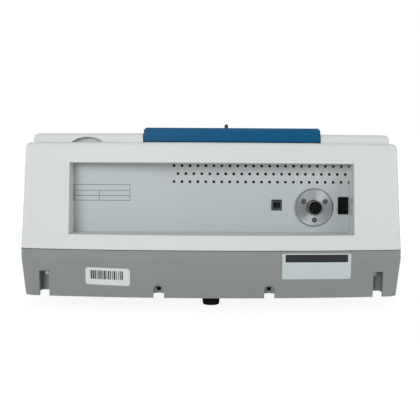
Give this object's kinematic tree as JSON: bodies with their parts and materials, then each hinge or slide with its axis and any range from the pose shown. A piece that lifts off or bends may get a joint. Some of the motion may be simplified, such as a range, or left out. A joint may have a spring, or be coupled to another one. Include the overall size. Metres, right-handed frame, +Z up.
{
  "type": "infrared spectrometer",
  "caption": "Benchtop infrared spectrometer with a lidded sample compartment, raised deck covers and a recessed rear panel with power socket, data socket, switch and vents.",
  "frame": {"origin": "on the table under the middle of the body", "axes": "+X to the right seen from the front, +Y to the rear panel, +Z up"},
  "size_m": [0.472, 0.35, 0.2436],
  "materials": {
    "white_cover": "fine satin moulded",
    "grey_base": "fine satin moulded",
    "foot_rubber": "matte",
    "screw_steel": "plated",
    "dark_screw": "blackened",
    "lid_blue": "satin gloss",
    "panel_metal": "satin paint",
    "panel_film": "printed film",
    "socket_metal": "plated",
    "socket_dark": "moulded",
    "contact_brass": "plated",
    "board_green": "coated circuit board",
    "hinge_steel": "satin",
    "bench_aluminium": "machined casting",
    "black_anodised": "anodised",
    "tub_plastic": "fine grain",
    "gold_mirror": "polished",
    "optic_glass": "polished",
    "card_stock": "coated card",
    "source_ceramic": "fired",
    "coil_copper": "enamelled wire"
  },
  "bodies": {
    "instrument": {"base_tray": "grey_base", "beam_windows": "optic_glass", "beamsplitter": "optic_glass", "beamsplitter_mount": "black_anodised", "bench_mounts": "foot_rubber", "bench_screws": "dark_screw", "bracket_screws": "screw_steel", "cover_screws": "screw_steel", "desiccant_canister": "bench_aluminium", "detector_block": "black_anodised", "detector_can": "bench_aluminium", "detector_deck": "white_cover", "detector_mirror": "gold_mirror", "detector_mirror_mount": "black_anodised", "drive_magnet": "black_anodised", "feet": "foot_rubber", "fixed_mirror": "gold_mirror", "fixed_mirror_mount": "black_anodised", "flange_screws": "screw_steel", "foot_screws": "screw_steel", "hinge_brackets": "hinge_steel", "hinge_pins": "hinge_steel", "interface_board": "board_green", "interferometer_deck": "white_cover", "laser_bracket": "black_anodised", "laser_module": "black_anodised", "main_board": "board_green", "mirror_guide": "black_anodised", "optical_bench": "bench_aluminium", "panel_screws": "screw_steel", "power_flange": "socket_metal", "power_insert": "socket_dark", "power_pins": "contact_brass", "power_ring": "socket_metal", "preamp_board": "board_green", "rear_film": "panel_film", "rear_panel": "panel_metal", "sample_mount": "black_anodised", "sample_tub": "tub_plastic", "source_element": "source_ceramic", "source_housing": "bench_aluminium", "source_mirror": "gold_mirror", "switch_housing": "socket_dark", "top_cover": "white_cover", "usb_shell": "socket_metal", "usb_tongue": "socket_dark", "window_rings": "black_anodised"},
    "lid": {"sample_lid": "lid_blue", "lid_knob": "black_anodised"},
    "rocker": {"switch_rocker": "socket_dark"},
    "mirror_drive": {"mirror_carriage": "black_anodised", "moving_mirror": "gold_mirror", "drive_coil": "coil_copper"},
    "card": {"sample_card": "card_stock"}
  },
  "joints": [
    {"name": "lid_hinge", "type": "hinge", "parent": "instrument", "child": "lid", "pos_m": [-0.0244, 0.1453, 0.2116], "axis": [-1, 0, 0], "range_deg": [0, 75]},
    {"name": "power_rocker", "type": "hinge", "parent": "instrument", "child": "rocker", "pos_m": [-0.1652, 0.1284, 0.1279], "axis": [-1, 0, 0], "range_deg": [0, 18]},
    {"name": "mirror_slide", "type": "slide", "parent": "instrument", "child": "mirror_drive", "axis": [0, 1, 0], "range_m": [-0.004, 0.004]},
    {"name": "card_lift", "type": "slide", "parent": "instrument", "child": "card", "axis": [0, 0, 1], "range_m": [0, 0.038]}
  ]
}
